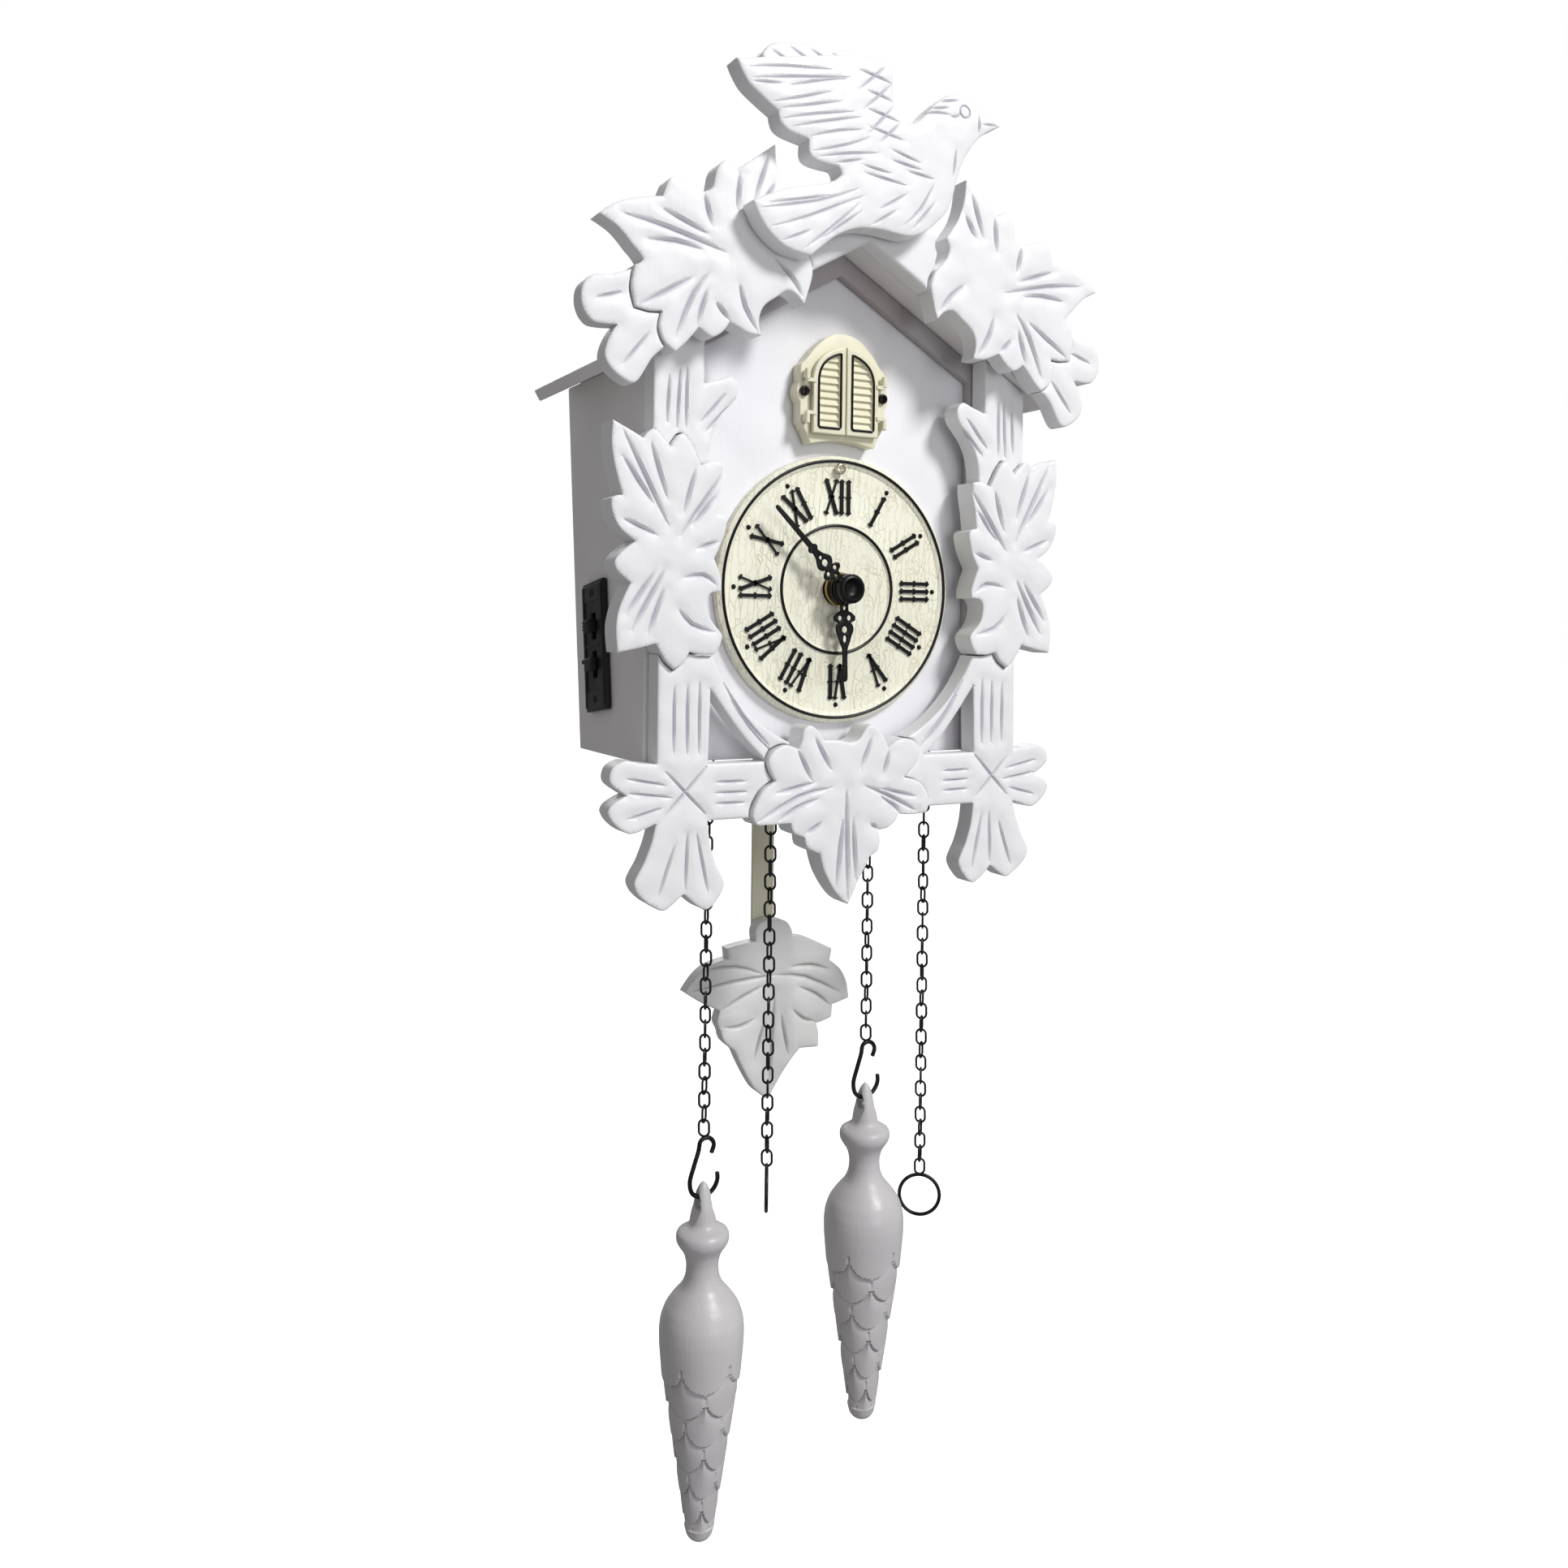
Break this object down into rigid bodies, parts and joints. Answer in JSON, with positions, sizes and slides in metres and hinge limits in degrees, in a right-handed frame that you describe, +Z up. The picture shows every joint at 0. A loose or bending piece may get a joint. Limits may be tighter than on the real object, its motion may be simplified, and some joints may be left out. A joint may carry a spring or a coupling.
{
  "type": "cuckoo clock",
  "caption": "Wall cuckoo clock with a pitched-roof case, carved leaves and bird, louvred cuckoo doors, round dial, chains with cone weights and a leaf pendulum",
  "frame": {"origin": "centre of the flat rear face of the gable back board, where the case meets the wall, 66 mm above the dial centre", "axes": "+Z up, -Y the dial side, +Y into the wall, +X to the right seen from the front"},
  "size_m": [0.1566, 0.0823, 0.3871],
  "materials": {
    "white_paint": "white satin paint over carved wood",
    "ivory_plastic": "ivory, lightly crackled, satin",
    "black_plastic": "black, semi-gloss",
    "black_steel": "blackened steel, satin",
    "brass": "polished",
    "circuit_green": "solder-masked board",
    "cell_wrap": "plain printed sleeve",
    "cuckoo_brown": "matte"
  },
  "bodies": {
    "case": {"side_board_left": "white_paint", "side_board_right": "white_paint", "front_board": "white_paint", "bottom_board": "white_paint", "back_cover": "white_paint", "gable_back_board": "white_paint", "roof_board_left": "white_paint", "roof_board_right": "white_paint", "spacer_strip": "white_paint", "frame_corner_left": "white_paint", "frame_corner_right": "white_paint", "frame_branch_left": "white_paint", "frame_branch_right": "white_paint", "side_leaf_left": "white_paint", "side_leaf_right": "white_paint", "centre_leaf": "white_paint", "gable_strip": "white_paint", "roof_leaf_left": "white_paint", "roof_leaf_right": "white_paint", "roof_twig_left": "white_paint", "roof_twig_right": "white_paint", "bird": "white_paint", "bird_rear_wing": "white_paint", "dial": "ivory_plastic", "dial_screw": "brass", "dial_nut": "brass", "movement": "black_plastic", "pendulum_drive": "black_plastic", "battery_tray": "black_plastic", "battery_a": "cell_wrap", "battery_b": "cell_wrap", "speaker": "black_plastic", "circuit_board": "circuit_green", "switch_plate": "black_plastic", "door_module": "ivory_plastic", "module_screw_left": "black_steel", "module_screw_right": "black_steel", "chain_carrier": "black_plastic"},
    "minute": {"minute_hand": "black_plastic", "hub_cap": "black_plastic"},
    "hour": {"hour_hand": "black_plastic"},
    "switch_a": {"switch_upper": "black_plastic"},
    "switch_b": {"switch_lower": "black_plastic"},
    "left_door": {"door_left": "ivory_plastic"},
    "right_door": {"door_right": "ivory_plastic"},
    "cuckoo_slider": {"cuckoo": "cuckoo_brown"},
    "pendulum": {"pendulum_rod": "ivory_plastic", "pendulum_bob": "white_paint"},
    "left_wheel": {"chain_wheel_left": "ivory_plastic"},
    "right_wheel": {"chain_wheel_right": "ivory_plastic"},
    "left_weight_chain": {"chain_left_weight_fall": "black_steel", "hook_left": "black_steel"},
    "left_ring_chain": {"chain_left_ring_fall": "black_steel", "ring_left": "black_steel"},
    "right_weight_chain": {"chain_right_weight_fall": "black_steel", "hook_right": "black_steel"},
    "right_ring_chain": {"chain_right_ring_fall": "black_steel", "ring_right": "black_steel"},
    "left_weight": {"weight_left": "white_paint"},
    "right_weight": {"weight_right": "white_paint"}
  },
  "joints": [
    {"name": "minute_turn", "type": "hinge", "parent": "case", "child": "minute", "pos_m": [0, -0.0645, -0.066], "axis": [0, 1, 0], "continuous": true},
    {"name": "hour_turn", "type": "hinge", "parent": "case", "child": "hour", "pos_m": [0, -0.063, -0.066], "axis": [0, 1, 0], "continuous": true},
    {"name": "switch_upper_slide", "type": "slide", "parent": "case", "child": "switch_a", "axis": [0, 0.13, 0.9915], "range_m": [-0.002, 0.002]},
    {"name": "switch_lower_slide", "type": "slide", "parent": "case", "child": "switch_b", "axis": [0, 0.13, 0.9915], "range_m": [-0.002, 0.002]},
    {"name": "cuckoo_slide", "type": "slide", "parent": "case", "child": "cuckoo_slider", "axis": [0, -1, 0], "range_m": [0, 0.018]},
    {"name": "left_door_hinge", "type": "hinge", "parent": "case", "child": "left_door", "pos_m": [-0.0101, -0.06205, -0.013], "axis": [0, 0, -1], "range_deg": [0, 100]},
    {"name": "right_door_hinge", "type": "hinge", "parent": "case", "child": "right_door", "pos_m": [0.0101, -0.06205, -0.013], "axis": [0, 0, 1], "range_deg": [0, 100]},
    {"name": "pendulum_swing", "type": "hinge", "parent": "case", "child": "pendulum", "pos_m": [0, -0.0177, -0.042], "axis": [0, 1, 0], "range_deg": [-7, 7]},
    {"name": "left_chain_slide", "type": "slide", "parent": "case", "child": "left_weight_chain", "axis": [0, 0, -1], "range_m": [-0.052, 0.052]},
    {"name": "left_ring_slide", "type": "slide", "parent": "case", "child": "left_ring_chain", "axis": [0, 0, 1], "range_m": [-0.052, 0.052]},
    {"name": "left_wheel_turn", "type": "hinge", "parent": "case", "child": "left_wheel", "pos_m": [-0.0249, -0.0515, -0.096], "axis": [0, 1, 0], "range_deg": [-318, 318]},
    {"name": "right_chain_slide", "type": "slide", "parent": "case", "child": "right_weight_chain", "axis": [0, 0, -1], "range_m": [-0.052, 0.052]},
    {"name": "right_ring_slide", "type": "slide", "parent": "case", "child": "right_ring_chain", "axis": [0, 0, 1], "range_m": [-0.052, 0.052]},
    {"name": "right_wheel_turn", "type": "hinge", "parent": "case", "child": "right_wheel", "pos_m": [0.0249, -0.0515, -0.096], "axis": [0, 1, 0], "range_deg": [-318, 318]},
    {"name": "left_weight_swing", "type": "hinge", "parent": "left_weight_chain", "child": "left_weight", "pos_m": [-0.0343, -0.0517, -0.226], "axis": [1, 0, 0], "range_deg": [-10, 10]},
    {"name": "right_weight_swing", "type": "hinge", "parent": "right_weight_chain", "child": "right_weight", "pos_m": [0.0155, -0.0517, -0.2078], "axis": [1, 0, 0], "range_deg": [-10, 10]}
  ],
  "couplings": [
    {"joint": "hour_turn", "follows": "minute_turn", "ratio": 0.083333},
    {"joint": "left_door_hinge", "follows": "cuckoo_slide", "rad_per_m": 96.9},
    {"joint": "right_door_hinge", "follows": "cuckoo_slide", "rad_per_m": 96.9},
    {"joint": "left_ring_slide", "follows": "left_chain_slide", "ratio": 1},
    {"joint": "left_wheel_turn", "follows": "left_chain_slide", "rad_per_m": -106.4},
    {"joint": "right_ring_slide", "follows": "right_chain_slide", "ratio": 1},
    {"joint": "right_wheel_turn", "follows": "right_chain_slide", "rad_per_m": -106.4}
  ]
}
